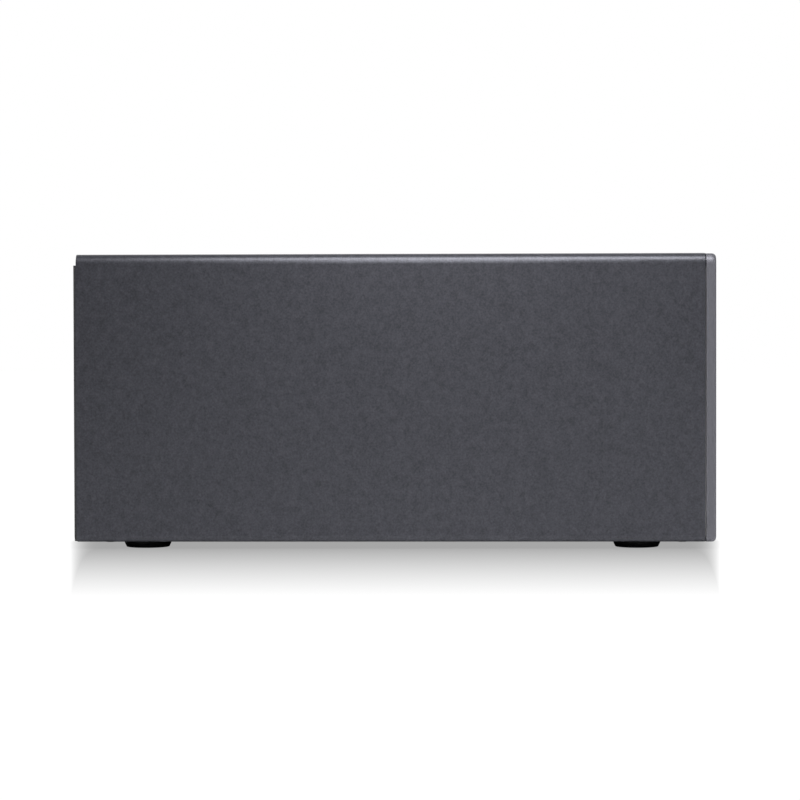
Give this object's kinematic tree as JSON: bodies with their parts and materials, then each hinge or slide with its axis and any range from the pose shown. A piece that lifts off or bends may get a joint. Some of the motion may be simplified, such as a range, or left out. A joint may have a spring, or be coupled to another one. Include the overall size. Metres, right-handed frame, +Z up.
{
  "type": "data tape drive",
  "caption": "Desktop data tape drive: a wrapped steel box on rubber feet with a front bezel, a cartridge slot with a sprung door, and a rear power inlet, fan and data ports.",
  "frame": {"origin": "centre of the footprint, on the surface the feet stand on", "axes": "+Z up, the front bezel faces -Y, +X is to the right seen from the front"},
  "size_m": [0.172, 0.32, 0.147],
  "materials": {
    "cover_paint": "fine textured charcoal powder coat",
    "bezel_paint": "satin grey metallic paint",
    "panel_paint": "fine textured dark grey powder coat",
    "zinc_steel": "bright zinc-plated sheet",
    "bracket_steel": "bright nickel-plated sheet",
    "screw_steel": "bright zinc-plated screws",
    "black_screw": "black oxide screws",
    "foot_rubber": "matt black rubber",
    "black_plastic": "fine-grained black moulding",
    "grey_plastic": "dark grey moulding",
    "white_plastic": "natural acetal moulding",
    "display_lens": "dark tinted lens",
    "lamp_lens": "clear light pipes",
    "circuit_board": "green solder mask",
    "cast_metal": "die-cast, as cast",
    "sink_metal": "extruded and anodised",
    "post_brass": "turned hexagon posts",
    "shaft_steel": "ground steel",
    "port_steel": "drawn stainless shell",
    "head_ceramic": "lapped ceramic tape face",
    "lead_black": "black sleeved lead"
  },
  "bodies": {
    "enclosure": {"cover_sleeve": "cover_paint", "base_tray": "zinc_steel", "front_bezel": "bezel_paint", "rear_panel": "panel_paint", "drive_shelf": "zinc_steel", "rubber_feet": "foot_rubber", "foot_screws": "screw_steel", "cover_screws": "screw_steel", "chassis_screws": "screw_steel", "rear_screws": "black_screw", "board_screws": "screw_steel", "lid_screws": "screw_steel", "supply_case": "zinc_steel", "supply_board": "circuit_board", "mains_inlet": "black_plastic", "inlet_pins": "shaft_steel", "rocker_frame": "black_plastic", "supply_fan_frame": "black_plastic", "rear_fan_frame": "black_plastic", "bridge_board": "circuit_board", "bridge_heat_sink": "sink_metal", "board_posts": "post_brass", "data_ports": "port_steel", "storage_card": "circuit_board", "card_heat_sink": "sink_metal", "card_bracket": "bracket_steel", "riser_board": "circuit_board", "data_cable": "lead_black", "power_lead": "lead_black", "drive_chassis": "cast_metal", "drive_lid": "zinc_steel", "drive_bezel": "black_plastic", "front_board": "circuit_board", "status_display": "display_lens", "status_lamps": "lamp_lens", "loader_motor": "shaft_steel", "hub_motor": "cast_metal", "reel_motor": "cast_metal", "guide_posts": "shaft_steel", "head_stepper": "shaft_steel", "drive_board": "circuit_board"},
    "slot_door": {"slot_door": "black_plastic"},
    "eject_button": {"eject_button": "grey_plastic"},
    "cartridge_carrier": {"cartridge_carrier": "black_plastic"},
    "loader_wheel": {"loader_wheel": "white_plastic"},
    "loader_pinion": {"loader_pinion": "white_plastic"},
    "supply_hub": {"supply_hub": "grey_plastic"},
    "take_up_reel": {"take_up_reel": "grey_plastic"},
    "guide_roller_1": {"guide_roller_1": "sink_metal"},
    "guide_roller_2": {"guide_roller_2": "sink_metal"},
    "guide_roller_3": {"guide_roller_3": "sink_metal"},
    "guide_roller_4": {"guide_roller_4": "sink_metal"},
    "head_carriage": {"head_carriage": "cast_metal", "tape_head": "head_ceramic"},
    "head_screw": {"head_screw": "shaft_steel"},
    "rear_fan_rotor": {"rear_fan_rotor": "black_plastic"},
    "supply_fan_rotor": {"supply_fan_rotor": "black_plastic"},
    "power_rocker": {"power_rocker": "grey_plastic"}
  },
  "joints": [
    {"name": "slot_door_swing", "type": "hinge", "parent": "enclosure", "child": "slot_door", "pos_m": [0, -0.156, 0.1324], "axis": [1, 0, 0], "range_deg": [0, 80], "stiffness_Nm_per_rad": 0.003, "springref_deg": -11.46},
    {"name": "eject_button_press", "type": "slide", "parent": "enclosure", "child": "eject_button", "axis": [0, 1, 0], "range_m": [0, 0.0012], "stiffness_N_per_m": 400, "springref_m": -0.0005},
    {"name": "cartridge_carrier_slide", "type": "slide", "parent": "enclosure", "child": "cartridge_carrier", "axis": [0, 1, 0], "range_m": [0, 0.018]},
    {"name": "loader_wheel_turn", "type": "hinge", "parent": "enclosure", "child": "loader_wheel", "pos_m": [0.0628, -0.0797, 0.115], "axis": [0, 0, 1], "range_deg": [-171.9, 0]},
    {"name": "loader_pinion_turn", "type": "hinge", "parent": "enclosure", "child": "loader_pinion", "pos_m": [0.0628, -0.0696, 0.115], "axis": [0, 0, 1], "range_deg": [0, 257.9]},
    {"name": "supply_hub_spin", "type": "hinge", "parent": "enclosure", "child": "supply_hub", "pos_m": [0, -0.0797, 0.105], "axis": [0, 0, 1], "continuous": true},
    {"name": "take_up_reel_spin", "type": "hinge", "parent": "enclosure", "child": "take_up_reel", "pos_m": [0.022, 0.013, 0.115], "axis": [0, 0, 1], "continuous": true},
    {"name": "guide_roller_1_spin", "type": "hinge", "parent": "enclosure", "child": "guide_roller_1", "pos_m": [-0.055, -0.01, 0.115], "axis": [0, 0, 1], "continuous": true},
    {"name": "guide_roller_2_spin", "type": "hinge", "parent": "enclosure", "child": "guide_roller_2", "pos_m": [-0.05, 0.004, 0.115], "axis": [0, 0, 1], "continuous": true},
    {"name": "guide_roller_3_spin", "type": "hinge", "parent": "enclosure", "child": "guide_roller_3", "pos_m": [-0.05, 0.03, 0.115], "axis": [0, 0, 1], "continuous": true},
    {"name": "guide_roller_4_spin", "type": "hinge", "parent": "enclosure", "child": "guide_roller_4", "pos_m": [-0.028, 0.042, 0.115], "axis": [0, 0, 1], "continuous": true},
    {"name": "head_carriage_shift", "type": "slide", "parent": "enclosure", "child": "head_carriage", "axis": [0, 0, 1], "range_m": [-0.003, 0.003]},
    {"name": "head_screw_turn", "type": "hinge", "parent": "enclosure", "child": "head_screw", "pos_m": [-0.0338, 0.017, 0.115], "axis": [0, 0, 1], "range_deg": [-540, 540]},
    {"name": "rear_fan_spin", "type": "hinge", "parent": "enclosure", "child": "rear_fan_rotor", "pos_m": [-0.03, 0.1465, 0.0975], "axis": [0, 1, 0], "continuous": true},
    {"name": "supply_fan_spin", "type": "hinge", "parent": "enclosure", "child": "supply_fan_rotor", "pos_m": [0.0595, 0.1465, 0.0662], "axis": [0, 1, 0], "continuous": true},
    {"name": "power_rocker_rock", "type": "hinge", "parent": "enclosure", "child": "power_rocker", "pos_m": [0.0595, 0.1548, 0.0382], "axis": [0, 0, 1], "range_deg": [0, 24]}
  ],
  "couplings": [
    {"joint": "loader_wheel_turn", "follows": "cartridge_carrier_slide", "rad_per_m": -166.67},
    {"joint": "loader_pinion_turn", "follows": "cartridge_carrier_slide", "rad_per_m": 250},
    {"joint": "head_screw_turn", "follows": "head_carriage_shift", "rad_per_m": 3141.6}
  ]
}
